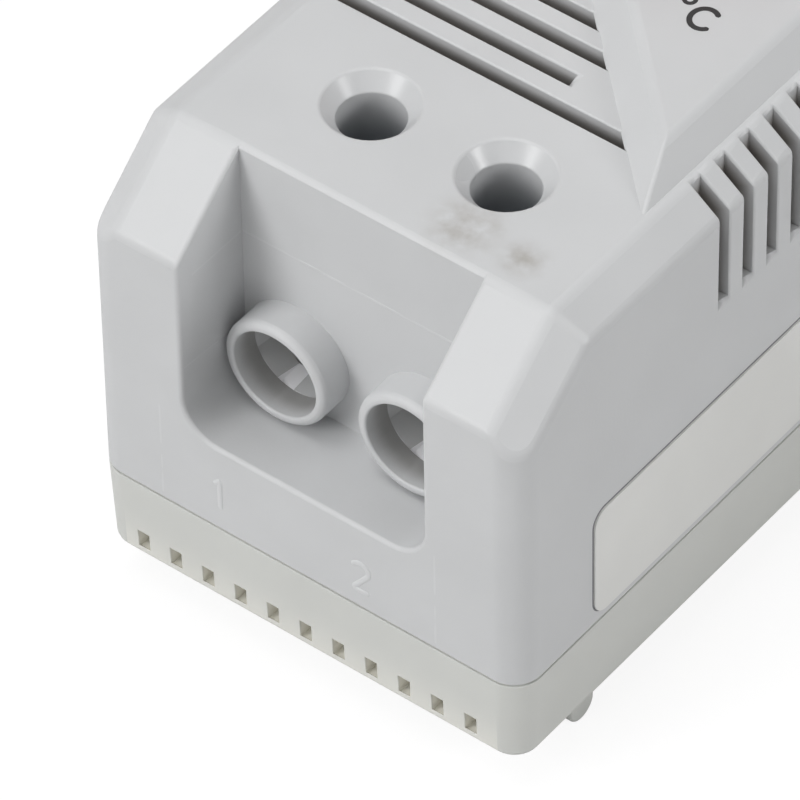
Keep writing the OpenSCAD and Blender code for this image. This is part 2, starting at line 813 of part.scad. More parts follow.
module pivot_bracket() {
    x = bracket_ear_x + bracket_t;
    color("#a9acb0") placed() difference() {
        union() {
            block([-x, pivot_y - bracket_l / 2, z_bracket], [x, pivot_y + bracket_l / 2, z_bracket + bracket_t]);
            both_sides()
                block([bracket_ear_x, pivot_y - ear_l / 2, z_bracket], [x, pivot_y + ear_l / 2, z_pin + ear_l / 2]);
        }
        translate([-2 * x, pivot_y, z_pin]) rotate([0, 90, 0]) cylinder(d = pin_d + fit, h = 4 * x);
        translate([0, pivot_y, z_bracket - over])
            cylinder(d = bracket_screw_d + slip, h = bracket_t + 2 * over);
    }
}

module bracket_screw() {
    color("#b9bcc0") placed() translate([0, pivot_y, z_bracket + bracket_t])
        slotted_screw(bracket_screw_d - slip, z_bracket + bracket_t - z_floor - slip,
                      bracket_head_d, bracket_head_h);
}

// One unbroken wire wound on Z: rings of points along the helix, joined by triangles
module coil(d, wire, h, turns) {
    rings = turns * rings_per_turn;
    r = (d - wire) / 2;
    climb = (h - wire) / turns;
    lead = atan(climb / (2 * PI * r));
    points = [for (i = [0:rings], j = [0:wire_sides - 1])
        let (t = i * 360 / rings_per_turn, s = j * 360 / wire_sides,
             out = wire / 2 * cos(s), up = wire / 2 * sin(s))
        [(r + out) * cos(t) + up * sin(lead) * sin(t),
         (r + out) * sin(t) - up * sin(lead) * cos(t),
         wire / 2 + i * climb / rings_per_turn + up * cos(lead)]];
    sides = [for (i = [0:rings - 1], j = [0:wire_sides - 1])
        let (a = i * wire_sides + j, b = i * wire_sides + (j + 1) % wire_sides)
        each [[a, a + wire_sides, b], [b, a + wire_sides, b + wire_sides]]];
    // least distance between points of this wire that lie more than half a turn apart
    apart = wire_sides * rings_per_turn / 2;
    least = min([for (a = [0:len(points) - 1], b = [a + apart:len(points) - 1]) norm(points[a] - points[b])]);
    echo(str("least gap of the coil to itself, mm: ", least));
    last = rings * wire_sides;
    ends = [for (j = [1:wire_sides - 2]) each [[0, j, j + 1], [last, last + j + 1, last + j]]];
    polyhedron(points, concat(sides, ends));
}

module lever_spring() {
    color("#b9bcc0") placed() translate([lever_spring_x, knob_y, z_lever_spring])
        coil(lever_spring_d, lever_spring_wire, z_lever - z_lever_spring, lever_spring_turns);
}

module calibration_screw() {
    color("#c9b36a") placed() translate([0, trim_y, z_strip + strip_t + fit]) difference() {
        cylinder(d = trim_d, h = trim_h);
        block([-trim_d, -screw_slot_w / 2, trim_h - screw_slot_w], [trim_d, screw_slot_w / 2, trim_h + over]);
    }
}

module bimetal_strip() {
    color("#9a958c") placed() difference() {
        block([-strip_w / 2, strip_root_y - strip_l, z_strip], [strip_w / 2, strip_root_y, z_strip + strip_t]);
        for (x = [-rivet_x, rivet_x]) translate([x, rivet_y, z_strip - over])
            cylinder(d = rivet_d + 2 * gap, h = strip_t + 2 * over);
        translate([0, contact_y, z_strip - over])
            cylinder(d = contact_shank_d + fit, h = strip_t + 2 * over);
    }
}

module bimetal_rivets() {
    low = z_strip - slip - rivet_head_h;
    high = z_lever + lever_t;
    color("#c9b36a") placed() for (x = [-rivet_x, rivet_x]) translate([x, rivet_y, 0]) {
        translate([0, 0, low]) cylinder(d = rivet_head_d, h = rivet_head_h);
        translate([0, 0, low]) cylinder(d = rivet_d, h = high - low);
        translate([0, 0, high]) cylinder(d = rivet_head_d, h = rivet_head_h);
    }
}

// A contact rivet: button, shank through a strip, and formed head
module contact_rivet(grip) {
    translate([0, 0, -button_h]) cylinder(d = contact_d, h = button_h);
    cylinder(d = contact_shank_d, h = grip + rivet_head_h);
    translate([0, 0, grip]) cylinder(d = rivet_head_d, h = rivet_head_h);
}

module moving_contact() {
    color("#d9dadc") placed() translate([0, contact_y, z_strip]) contact_rivet(strip_t);
}

module fixed_contact() {
    color("#d9dadc") placed() translate([0, contact_y, z_foot + bar_t]) {
        cylinder(d = contact_d, h = button_h);
        translate([0, 0, -bar_t]) cylinder(d = contact_shank_d, h = bar_t);
    }
}

module armature_plate() {
    color("#8c8f93") placed()
        block([-magnet_w / 2, armature_y - magnet_w / 2, z_strip - armature_h],
              [magnet_w / 2, armature_y + magnet_w / 2, z_strip]);
}

module snap_magnet() {
    color("#6f7275") placed()
        block([-magnet_w / 2, armature_y - magnet_w / 2, z_yoke + yoke_h],
              [magnet_w / 2, armature_y + magnet_w / 2, z_yoke + yoke_h + magnet_h]);
}

module magnet_yoke() {
    color("#a9acb0") placed()
        block([-yoke_w / 2, armature_y - yoke_w / 2, z_yoke], [yoke_w / 2, armature_y + yoke_w / 2, z_yoke + yoke_h]);
}

// Both bars start in a cage, run back through the carrier and turn down behind it
module bar_head(x, low) {
    block([x - bar_w / 2, screw_y - cage_l / 2, z_bar], [x + bar_w / 2, bar_leg_y + bar_t, z_bar + bar_t]);
    block([x - bar_w / 2, bar_leg_y, low], [x + bar_w / 2, bar_leg_y + bar_t, z_bar + bar_t]);
}

module terminal_bar_1() {
    x = -pole_pitch / 2;
    color("#c9b36a") placed() difference() {
        union() {
            bar_head(x, z_foot);
            block([x - bar_w / 2, bar_leg_y, z_foot], [x + bar_w / 2, contact_y + bar_w / 2, z_foot + bar_t]);
            block([x - bar_w / 2, contact_y - bar_w / 2, z_foot], [foot_x, contact_y + bar_w / 2, z_foot + bar_t]);
        }
        translate([0, contact_y, z_foot - over]) cylinder(d = contact_shank_d + fit, h = bar_t + 2 * over);
    }
}

module terminal_bar_2() {
    x = pole_pitch / 2;
    color("#c9b36a") placed() difference() {
        union() {
            bar_head(x, z_run);
            block([x - bar_w / 2, bar_leg_y, z_run], [x + bar_w / 2, pivot_y + bracket_l / 2, z_run + bar_t]);
            block([-bar_w, pivot_y - bracket_l / 2, z_run], [x + bar_w / 2, pivot_y + bracket_l / 2, z_run + bar_t]);
        }
        translate([0, pivot_y, z_run - over]) cylinder(d = bracket_screw_d + slip, h = bar_t + 2 * over);
    }
}

// Insulating carrier: two open chambers with an eight-sided wire duct in front of each
module terminal_carrier() {
    color("#e4e4df") placed() difference() {
        union() {
            block([-carrier_w / 2, carrier_y, z_carrier], [carrier_w / 2, carrier_back, z_carrier_top]);
            both_sides()
                block([carrier_w / 2 - carrier_leg, carrier_y, z_floor], [carrier_w / 2, carrier_back, z_carrier_top]);
        }
        both_sides() {
            translate([pole_pitch / 2, 0, 0]) {
                block([-cage_w / 2 - gap, screw_y - cage_l / 2 - gap, z_cage - gap],
                      [cage_w / 2 + gap, screw_y + cage_l / 2 + gap, z_carrier_top + over]);
                block([-bar_w / 2 - slip, screw_y, z_bar],
                      [bar_w / 2 + slip, carrier_back + over, z_carrier_top + over]);
            }
            duct(carrier_y - over, screw_y, duct_w, duct_w);
        }
    }
}

module clamp_cage(x) {
    color("#c3c6c9") placed() translate([x, screw_y, 0]) difference() {
        block([-cage_w / 2, -cage_l / 2, z_cage], [cage_w / 2, cage_l / 2, z_cage + cage_h]);
        block([-cage_w / 2 + cage_side, -cage_l, z_cage + cage_wall], [cage_w / 2 - cage_side, cage_l, z_cage_lid]);
        translate([0, 0, z_cage_lid - over]) cylinder(d = screw_d + 2 * fit, h = cage_top_t + 2 * over);
    }
}

module clamp_cage_1() {
    clamp_cage(-pole_pitch / 2);
}

module clamp_cage_2() {
    clamp_cage(pole_pitch / 2);
}

module terminal_screw(x) {
    color("#c3c6c9") placed() translate([x, screw_y, z_head])
        slotted_screw(screw_d, z_head - z_bar - bar_t - fit, screw_head_d, screw_head_h);
}

module terminal_screw_1() {
    terminal_screw(-pole_pitch / 2);
}

module terminal_screw_2() {
    terminal_screw(pole_pitch / 2);
}

// Sliding latch: nose under the near edge of the rail, grip bar across, head in the channel
module din_latch() {
    nose_y = rail_y + lip_l;
    back_y = latch_y + latch_l;
    color("#c6c7c4") placed() {
        translate([-latch_w / 2, 0, 0]) rotate([90, 0, 90]) linear_extrude(latch_w)
            polygon([[latch_y - slip, 0], [nose_y - lead_in, 0], [nose_y, lead_in], [nose_y, lip_t],
                     [back_y, lip_t], [back_y, latch_h], [latch_y - slip, latch_h]]);
        translate([-grip_w / 2, grip_y, grip_d / 2]) rotate([0, 90, 0]) cylinder(d = grip_d, h = grip_w);
        block([-grip_w / 2 + grip_d / 2, grip_y - grip_d / 2, grip_d / 2],
              [grip_w / 2 - grip_d / 2, grip_y + grip_d / 2, latch_h]);
        block([-neck_w / 2, neck_y, latch_h - slip], [neck_w / 2, back_y, z_latch_head + slip]);
        block([-latch_head_w / 2, latch_head_y, z_latch_head],
              [latch_head_w / 2, latch_head_y + latch_head_l, z_latch_head + latch_head_h]);
        block([-neck_w / 2, neck_y, z_latch_head],
              [neck_w / 2, latch_head_y + gap, z_latch_head + latch_head_h]);
    }
}

module latch_spring() {
    color("#b9bcc0") placed() translate([0, channel_y, z_channel + channel_h / 2]) rotate([-90, 0, 0])
        coil(latch_spring_d, latch_spring_wire, neck_y - channel_y, latch_spring_turns);
}

housing_cover();
base_plate();
rating_label();
setting_knob();
knob_pointer();
knob_ring();
setting_spindle();
spindle_bush();
bridge_bracket();
bridge_screws();
setting_lever();
lever_pin();
pivot_bracket();
bracket_screw();
lever_spring();
calibration_screw();
bimetal_strip();
bimetal_rivets();
moving_contact();
armature_plate();
snap_magnet();
magnet_yoke();
fixed_contact();
terminal_bar_1();
terminal_bar_2();
terminal_carrier();
clamp_cage_1();
clamp_cage_2();
terminal_screw_1();
terminal_screw_2();
din_latch();
latch_spring();
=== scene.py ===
"""Rail-mounted bimetal thermostat: finishes, rounded edges, print, light and camera."""
import json
import math

import bmesh
import bpy
import numpy as np
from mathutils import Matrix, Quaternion, Vector


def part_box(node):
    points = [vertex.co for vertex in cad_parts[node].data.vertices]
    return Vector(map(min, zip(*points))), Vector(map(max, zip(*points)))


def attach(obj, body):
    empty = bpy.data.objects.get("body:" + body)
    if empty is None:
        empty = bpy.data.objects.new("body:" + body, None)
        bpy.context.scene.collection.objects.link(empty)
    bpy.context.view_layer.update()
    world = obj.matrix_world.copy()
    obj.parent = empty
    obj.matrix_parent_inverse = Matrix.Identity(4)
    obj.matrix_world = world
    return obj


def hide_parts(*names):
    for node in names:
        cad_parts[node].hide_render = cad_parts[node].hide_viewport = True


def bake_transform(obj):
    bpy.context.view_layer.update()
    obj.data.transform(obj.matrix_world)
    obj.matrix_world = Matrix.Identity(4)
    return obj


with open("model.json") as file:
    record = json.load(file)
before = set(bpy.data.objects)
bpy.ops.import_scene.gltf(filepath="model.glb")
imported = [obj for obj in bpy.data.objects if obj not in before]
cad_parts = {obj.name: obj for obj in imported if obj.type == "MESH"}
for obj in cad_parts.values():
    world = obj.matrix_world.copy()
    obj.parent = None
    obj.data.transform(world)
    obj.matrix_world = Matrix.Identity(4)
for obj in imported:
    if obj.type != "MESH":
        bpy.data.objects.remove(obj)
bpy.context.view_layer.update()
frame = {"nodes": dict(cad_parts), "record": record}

MM = 0.001

# Camera: place and the point it looks at, in millimetres, its roll in degrees, its focal length and
# its sensor's width in millimetres, and how near and far it sees, in metres
CAMERA_AT = (238.77, -319.08, 406.63)
CAMERA_AIM = (7.805, -30.158, 30.0)
CAMERA_ROLL = -1.168
CAMERA_LENS = 402.48
CAMERA_SENSOR = 36.0
CAMERA_CLIP = (0.01, 20.0)

# Level of the room's light. The lamps: direction, level on a face turned to it, and size and distance
# in metres, from the point that they all aim at
AMBIENT = 0.2
LAMPS = (("main_light", (-0.1, -0.45, 0.89), 0.25, 0.8, 0.9),
         ("high_light", (-0.25, -0.15, 0.95), 0.15, 0.5, 0.9),
         ("front_light", (-0.37, -0.81, 0.45), 0.38, 0.4, 0.9),
         ("top_light", (-0.1, 0.35, 0.93), 0.15, 0.5, 1.0),
         ("side_light", (0.87, 0.18, 0.45), 0.27, 0.25, 0.9))
LAMPS_AIM = Vector((0, 0, 0.02))

# Floor: half its side in metres, how far it lies below the part in millimetres, so that no two faces
# coincide, the colour that lights the part from below, the colour whose shadows the camera sees, what
# the lamps give that colour, and the level that the camera sees where no shadow falls
FLOOR_REACH = 4.0
FLOOR_DROP = 0.05
FLOOR_BOUNCE = 0.8
FLOOR_SHADOW = 0.17
FLOOR_LIGHT = 0.9
FLOOR_WHITE = 1.03

# Housing outline in millimetres, from the frame and from the slopes and bevels of its ends
COVER_LOW, COVER_HIGH = (np.array(corner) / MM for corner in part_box("housing_cover"))
LABEL_LOW, LABEL_HIGH = (np.array(corner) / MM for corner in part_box("rating_label"))
KNOB_LOW, KNOB_HIGH = (np.array(corner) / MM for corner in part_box("setting_knob"))
HALF_W = COVER_HIGH[0]
HALF_L = COVER_HIGH[1]
PLATFORM_Z = COVER_HIGH[2]
PLATFORM_H = 2.0
SEAM_Z = COVER_LOW[2]
TOP_Z = PLATFORM_Z - PLATFORM_H
BASE_Z = 3.0
CORNER_R = 2.0
SLOPE_RUN = 6.25
SLOPE_DROP = 5.4
BEVEL_RUN = 2.3
BEVEL_DROP = 1.75
BEVEL_LEN = math.hypot(BEVEL_RUN, BEVEL_DROP)
POCKET_HALF = 9.25
POCKET_Y = -HALF_L + SLOPE_RUN
POCKET_Z = SEAM_Z + 6.95
POCKET_R = 2.6
SLEEVE_X = 5.1
SLEEVE_Z = 21.0
SLEEVE_Y = -26.21
SLEEVE_BORE_R = 3.175
SLEEVE_BORE_L = 2.15
SLEEVE_R = 3.9
SLOTS_Y = -12.2
ACCESS_Y = -16.2
ACCESS_R = 2.2
ACCESS_SINK_W = 1.2
ACCESS_SINK_Z = TOP_Z - 1.15
KNOB_Y = (KNOB_LOW[1] + KNOB_HIGH[1]) / 2
SHELF_Y = -KNOB_Y - 5
LABEL_R = 1.2

# Rounding of the edges in millimetres, and the slack within which a point counts as on a face
BODY_ROUND = 0.42
SHELF_ROUND = 0.3
WING_ROUND = 0.22
POCKET_ROUND = 0.26
LIP_ROUND = 0.25
FIN_ROUND = 0.13
SLEEVE_ROUND = 0.42
BORE_ROUND = 0.14
SEAM_ROUND = 0.06
KNOB_ROUND = 0.12
LATCH_ROUND = 0.15
FLAT = 0.02
RIM_SLACK = 0.1

# Where two faces turn by more than the first angle in degrees, an edge is rounded, and by more than
# the second, it is shaded sharp. Points nearer than the weld in millimetres become one.
ROUND_ANGLE = 17
SHARP_ANGLE = 28
LEVEL_ANGLE = 0.6
WELD = 0.002

# Painted shade deep in the vent slots, screw holes and bores, and painted light in the base's windows: the
# tint, its share at the bottom, and between which depths it grows
SLOT_SHADE = ("#5C4F41", 0.72, 0.05, 1.5)
HOLE_SHADE = ("#48515A", 0.68, 1.1, 5.0)
BORE_SHADE = ("#59534D", 0.5, 0.1, 1.6)
WINDOW_LIGHT = ("#F6F4EB", 1.0, 0.1, 0.5)

# How far outside its bore a sleeve's painted shade reaches, so that the throat behind the bore is in it
BORE_MARGIN = 0.35

# Painted light, a pale patch low on the left in the throat behind each bore: its colour, how far left of
# the bore's middle it begins, and how far above the bore's lowest point it ends
THROAT_LIGHT_COLOUR = "#FCFCFF"
PATCH_LEFT = 0.25
PATCH_TOP = 0.3

# Countersinks are polished: how much less rough they are, and from which depth on
SINK_POLISH = 0.13
SINK_POLISH_Z = 0.15

# Handling marks on the top: centre and reach of each, then their blotches' size, the span of the
# noise that shows, their strength and their colour
MARKS = (((5.8, -21.1, 36.1), 3.4), ((10.2, -21.3, 36.1), 2.2))
MARK_SIZE = 1.2
MARK_SPAN = (0.28, 0.68)
MARK_STRENGTH = 0.62
MARK_COLOUR = "#918A80"

# Noise that shades a surface: the span that nearly all its values lie in, the size of its clouds on
# plastic and of its streaks on metal in millimetres, how many times finer the streaks are along each
# axis, and how deep they are in millimetres
NOISE_SPAN = (0.3, 0.7)
CLOUD_SIZE = 7.0
STREAK_SIZE = 0.9
STREAK_SCALE = (1.0, 12.0, 1.0)
STREAK_DEPTH = 0.004

# Print and trim in millimetres: the print's thickness, the raised numbers' stroke and height, the fine tool
# lines' width, the painted shadow line round the label, and how deep a ridge sits in its wall. Then the
# number of points across a ridge, round the label and along a printed arc
PRINT_T = 0.03
NUMBER_W = 0.4
NUMBER_H = 0.08
LINE_W = 0.2
LABEL_SHADOW_OUT = 0.04
LABEL_SHADOW_W = 0.16
LABEL_SHADOW_H = 0.03
RIDGE_SINK = 0.01
RIDGE_POINTS = 9
LABEL_POINTS = 81
ARC_POINTS = 61

# Dial: number of steps, their sweep in degrees and value, the radius and height of the figures, and
# the inner and outer radius and half the width of the ticks
DIAL_STEPS = 6
DIAL_SWEEP = 270
DIAL_STEP_VALUE = 10
FIGURE_R = 9.35
FIGURE_H = 1.45
TICK_IN_R = 7.35
TICK_OUT_R = 8.15
TICK_HALF_W = 0.11
# Unit mark, as drawn by a round pen: centre, radii, start and sweep in degrees, and the pen's width
UNIT_MARK = (("unit_mark_c", (7.68, 0.06), (0.86, 0.93), 42, 286, 0.36),
             ("unit_mark_ring", (5.98, 0.96), (0.36, 0.36), 0, 360, 0.28))


def linear(hex_colour):
    """sRGB hex to linear RGBA."""
    parts = [int(hex_colour[i:i + 2], 16) / 255 for i in (1, 3, 5)]
    return [c / 12.92 if c <= 0.04045 else ((c + 0.055) / 1.055) ** 2.4 for c in parts] + [1.0]


def add(tree, kind, *feeds, **settings):
    """Adds a node and gives its first live output. Settings are its properties, or its sockets by name
    with _ for a space. Feeds fill its live sockets in order, with plain values or others' outputs."""
    node = tree.nodes.new("ShaderNode" + kind)
    sockets = []
    for key, value in settings.items():
        if hasattr(node, key):
            setattr(node, key, value)
        else:
            sockets.append((node.inputs[key.replace("_", " ")], value))
    sockets += zip([socket for socket in node.inputs if socket.enabled], feeds)
    for socket, value in sockets:
        if isinstance(value, bpy.types.NodeSocket):
            tree.links.new(value, socket)
        else:
            socket.default_value = value
    return next((socket for socket in node.outputs if socket.enabled), None)


def empty_tree(owner):
    """The node tree of a material or of the room, with nothing in it yet."""
    owner.use_nodes = True
    owner.node_tree.nodes.clear()
    return owner.node_tree


def skin(tree, place, shading, height, shades, rough, depth_mm, overlay=None, **plain):
    """Makes the surface. Its colour goes from the first shade to the second, and its roughness from the
    lower to the higher, as the shading noise goes through its span. A bump follows the height."""
    colour = add(tree, "ValToRGB", shading)
    for stop, position, shade in zip(colour.node.color_ramp.elements, NOISE_SPAN, shades):
        stop.position = position
        stop.color = linear(shade)
    roughness = add(tree, "MapRange", shading, *NOISE_SPAN, *rough)
    if overlay:
        colour, roughness = overlay(tree, place, colour, roughness)
    normal = add(tree, "Bump", Distance=depth_mm * MM, Height=height)
    body = add(tree, "BsdfPrincipled", Base_Color=colour, Roughness=roughness, Normal=normal, **plain)
    add(tree, "OutputMaterial", Surface=body)


def moulded_plastic(name, shades, rough=(0.40, 0.50), grain_mm=0.22, depth_mm=0.006, overlay=None):
    """Moulded plastic with a spark-eroded grain: a slightly cloudy colour, fine bump and satin gloss.
    The real grain is about 0.03 mm wide and too fine to show, so it is drawn coarser."""
    material = bpy.data.materials.new(name)
    tree = empty_tree(material)
    place = add(tree, "TexCoord").node.outputs["Object"]
    cloud = add(tree, "TexNoise", place, Scale=1 / (CLOUD_SIZE * MM), Detail=2.0)
    fine = add(tree, "TexNoise", place, Scale=1 / (grain_mm * MM), Detail=3.0)
    skin(tree, place, cloud, fine, shades, rough, depth_mm, overlay, IOR=1.5)
    return material


def worked_metal(name, shades, rough=(0.28, 0.42)):
    """Metal with the streaks that rolling, drawing or grinding leaves, and a soft gloss. The real ones
    are a few hundredths of a millimetre wide and too fine to show, so they are drawn coarser."""
    material = bpy.data.materials.new(name)
    tree = empty_tree(material)
    place = add(tree, "TexCoord").node.outputs["Object"]
    along = add(tree, "Mapping", place, Scale=STREAK_SCALE)
    streak = add(tree, "TexNoise", along, Scale=1 / (STREAK_SIZE * MM), Detail=3.0)
    skin(tree, place, streak, streak, shades, rough, STREAK_DEPTH, Metallic=1.0)
    return material


def handling_marks(tree, place, colour):
    """Faint grey-brown marks where fingers and tools have touched the top beside the screw holes: a
    blotchy noise that fades out smoothly from each centre to its reach."""
    for centre, reach in MARKS:
        away = add(tree, "VectorMath", place, [c * MM for c in centre], operation="DISTANCE")
        near = add(tree, "MapRange", away, 0.0, reach * MM, 1.0, 0.0, interpolation_type="SMOOTHSTEP")
        patch = add(tree, "TexNoise", place, Scale=1 / (MARK_SIZE * MM), Detail=5.0)
        blotch = add(tree, "MapRange", patch, *MARK_SPAN, 0.0, MARK_STRENGTH)
        amount = add(tree, "Math", near, blotch, operation="MULTIPLY")
        colour = add(tree, "Mix", amount, colour, linear(MARK_COLOUR), data_type="RGBA")
    return colour


def painted_tone(tree, colour, tone, depth, *masks):
    """The colour, changed to a tone's tint where every mask is 1: painted shade where the tint is dark,
    painted light where it is pale. The tint's share grows smoothly from 0 to the tone's own as the depth
    goes from the tone's start to its end."""
    tint, share, start, end = tone
    amount = add(tree, "MapRange", depth, start * MM, end * MM, 0.0, share, interpolation_type="SMOOTHSTEP")
    for mask in masks:
        amount = add(tree, "Math", amount, mask, operation="MULTIPLY")
    return add(tree, "Mix", amount, colour, linear(tint), data_type="RGBA")


def round_axis(tree, place, centre, across, reach):
    """1 within reach of the line through the centre, along the direction where across is 0, and 0
    further off."""
    away = add(tree, "VectorMath", place, [c * MM for c in centre], operation="SUBTRACT")
    away = add(tree, "VectorMath", away, across, operation="MULTIPLY")
    away = add(tree, "VectorMath", away, operation="LENGTH")
    return add(tree, "Math", away, reach * MM, operation="LESS_THAN")


def depths_inside(tree, place):
    """How deep a point lies behind the sides and the ends and below the top of the housing: first as
    one vector, and then as three numbers."""
    size = add(tree, "VectorMath", place, operation="ABSOLUTE")
    outer = [HALF_W * MM, HALF_L * MM, TOP_Z * MM]
    inside = add(tree, "VectorMath", outer, size, operation="SUBTRACT")
    return inside, *add(tree, "SeparateXYZ", inside).node.outputs


def cover_marks_shade_and_light(tree, place, colour, roughness):
    """Handling marks, polished countersinks, painted shade in the vent slots, the screw holes and the
    sleeves, and painted light in the throats behind the sleeves. The first two shades grow with the depth
    below the cover's sides, top and long bevels."""
    colour = handling_marks(tree, place, colour)
    x, y, z = add(tree, "SeparateXYZ", place).node.outputs
    right_half = add(tree, "CombineXYZ", add(tree, "Math", x, operation="ABSOLUTE"), y, z)
    inside, beside, behind, below = depths_inside(tree, place)
    past = add(tree, "VectorMath", inside, [BEVEL_RUN * MM, 0, 0], operation="SUBTRACT")
    square_to_bevel = [BEVEL_DROP / BEVEL_LEN, 0, BEVEL_RUN / BEVEL_LEN]
    bevel = add(tree, "VectorMath", past, square_to_bevel, operation="DOT_PRODUCT")
    depth = add(tree, "Math", below, beside, operation="MINIMUM")
    depth = add(tree, "Math", depth, bevel, operation="MINIMUM")

    # Painted shade in the vent slots, darker the deeper a point lies below the outer form
    past_slope = add(tree, "Math", behind, (SLOPE_RUN + RIM_SLACK) * MM, operation="GREATER_THAN")
    at_slots = add(tree, "Math", y, SLOTS_Y * MM, operation="GREATER_THAN")
    colour = painted_tone(tree, colour, SLOT_SHADE, depth, at_slots, past_slope)

    # Painted shade in the screw holes, darker the deeper, and polished countersinks
    hole = (SLEEVE_X, ACCESS_Y, 0)
    in_hole = round_axis(tree, right_half, hole, (1, 1, 0), ACCESS_R + ACCESS_SINK_W)
    colour = painted_tone(tree, colour, HOLE_SHADE, depth, in_hole)
    cone = add(tree, "MapRange", below, FLAT * MM, SINK_POLISH_Z * MM, 0.0, SINK_POLISH,
               interpolation_type="SMOOTHSTEP")
    polish = add(tree, "Math", in_hole, cone, operation="MULTIPLY")
    roughness = add(tree, "Math", roughness, polish, operation="SUBTRACT")

    # Painted shade in the sleeves' bores, darker further in
    bore = (SLEEVE_X, 0, SLEEVE_Z)
    round_bore = round_axis(tree, right_half, bore, (1, 0, 1), SLEEVE_BORE_R + BORE_MARGIN)
    near_end = add(tree, "Math", y, 0.0, operation="LESS_THAN")
    in_bore = add(tree, "Math", round_bore, near_end, operation="MULTIPLY")
    along = add(tree, "Math", y, SLEEVE_Y * MM, operation="SUBTRACT")
    in_front = add(tree, "Math", along, SLEEVE_BORE_L * MM, operation="LESS_THAN")
    colour = painted_tone(tree, colour, BORE_SHADE, along, in_bore, in_front)
    # Painted light in the throat behind each bore
    return throat_painted_light(tree, colour, x, z, along, in_bore), roughness


def throat_painted_light(tree, colour, x, z, along, in_bore):
    """Painted light: a pale patch low on the left in the throat behind each sleeve's bore, where the light
    falls on its floor.
    """
    side = add(tree, "Math", x, operation="SIGN")
    middle = add(tree, "Math", side, SLEEVE_X * MM, operation="MULTIPLY")
    off_middle = add(tree, "Math", x, middle, operation="SUBTRACT")
    top = (SLEEVE_Z - SLEEVE_BORE_R + PATCH_TOP) * MM
    patch = add(tree, "Math", along, SLEEVE_BORE_L * MM, operation="GREATER_THAN")
    for mask in (in_bore,
                 add(tree, "Math", off_middle, -PATCH_LEFT * MM, operation="LESS_THAN"),
                 add(tree, "Math", z, top, operation="LESS_THAN")):
        patch = add(tree, "Math", patch, mask, operation="MULTIPLY")
    return add(tree, "Mix", patch, colour, linear(THROAT_LIGHT_COLOUR), data_type="RGBA")


def base_window_light(tree, place, colour, roughness):
    """Painted light in the base's windows: a paler tint that stands in for the light inside the housing. It
    grows with the depth behind the ends, and stays off the underside and the rounded corners."""
    beside, behind = depths_inside(tree, place)[1:3]
    z = add(tree, "SeparateXYZ", place).node.outputs["Z"]
    above = add(tree, "Math", z, BASE_Z * MM, operation="SUBTRACT")
    depth = add(tree, "Math", behind, above, operation="MINIMUM")
    at_windows = add(tree, "Math", beside, CORNER_R * MM, operation="GREATER_THAN")
    return painted_tone(tree, colour, WINDOW_LIGHT, depth, at_windows), roughness


# Light grey moulded cover: fine matt grain, satin gloss
cover_plastic = moulded_plastic("cover_polyamide_grey", ("#CACBCC", "#CECFD0"), overlay=cover_marks_shade_and_light)
# Raised numbers of the same plastic, a little paler as a painted highlight on their strokes
highlit_raised_plastic = moulded_plastic("raised_polyamide_grey_highlit", ("#D1D2D3", "#D5D6D7"))
# Fine flash lines of the same plastic
line_plastic = moulded_plastic("line_polyamide_grey", ("#CFD0D1", "#D3D4D5"))
# Base of the same plastic from another tool, a little warmer
base_plastic = moulded_plastic("base_polyamide_grey", ("#CECFCB", "#D2D3CF"), rough=(0.44, 0.54),
                               overlay=base_window_light)
# Pale carrier of the terminals, smoother
carrier_plastic = moulded_plastic("carrier_polyamide_white", ("#DDDDD8", "#E6E6E1"), rough=(0.35, 0.45))
# Red knob, fine grain
knob_plastic = moulded_plastic("knob_polyamide_red", ("#A5211C", "#B02A22"), rough=(0.36, 0.46),
                               depth_mm=0.004)
# White pad-printed inlay
pointer_plastic = moulded_plastic("pointer_abs_white", ("#EDEDEA", "#F4F4F1"), rough=(0.4, 0.5))
# Satin label film: almost no grain, and a soft sheen
label_film = moulded_plastic("label_polyester_silver", ("#E0E0DD", "#E5E5E2"), rough=(0.30, 0.36),
                             grain_mm=0.5, depth_mm=0.001)
# Painted shadow round the label's edge: a grey line on the wall where the label's edge shades it
label_edge_shadow = moulded_plastic("label_edge_painted_shadow", ("#737277", "#7F7E83"), rough=(0.5, 0.6),
                             depth_mm=0.002)
# Black pad print
print_ink = moulded_plastic("print_ink_black", ("#101011", "#161617"), rough=(0.45, 0.6), depth_mm=0.002)
# Zinc-plated steel of the brackets, screws and springs: pale blue-grey with a soft gloss
zinc_steel = worked_metal("steel_zinc_plated", ("#A9ACB0", "#C3C6CA"))
# Rolled brass of the terminals, the spindle and its bush: warm yellow
brass_sheet = worked_metal("brass_rolled", ("#B89A55", "#CDB270"))
# Silver contact rivets, pressed: the brightest and glossiest metal
silver_contact = worked_metal("silver_contact", ("#CFCFCF", "#E2E2E2"), rough=(0.18, 0.3))
# Rolled bimetal strip: brownish grey and rather matt
bimetal_sheet = worked_metal("bimetal_rolled", ("#8D8982", "#A29E96"), rough=(0.35, 0.5))
# Ground magnet alloy: dark grey and matt
magnet_alloy = worked_metal("alnico_ground", ("#5E6164", "#74777B"), rough=(0.4, 0.55))

SLOT_FINISH = {
    "cover_grey": cover_plastic, "base_grey": base_plastic, "label_foil": label_film,
    "knob_red": knob_plastic, "pointer_white": pointer_plastic, "carrier_white": carrier_plastic,
    "zinc_steel": zinc_steel, "brass": brass_sheet, "silver": silver_contact,
    "bimetal": bimetal_sheet, "magnet_alloy": magnet_alloy,
}
NODE_SLOT = {part["node"]: part["material_slot"] for part in frame["record"]["subparts"]}
NODE_BODY = {node: body for body, nodes in frame["record"]["behaviour"]["bodies"].items() for node in nodes}


def dress(piece, material):
    """Gives a piece one material."""
    piece.data.materials.clear()
    piece.data.materials.append(material)


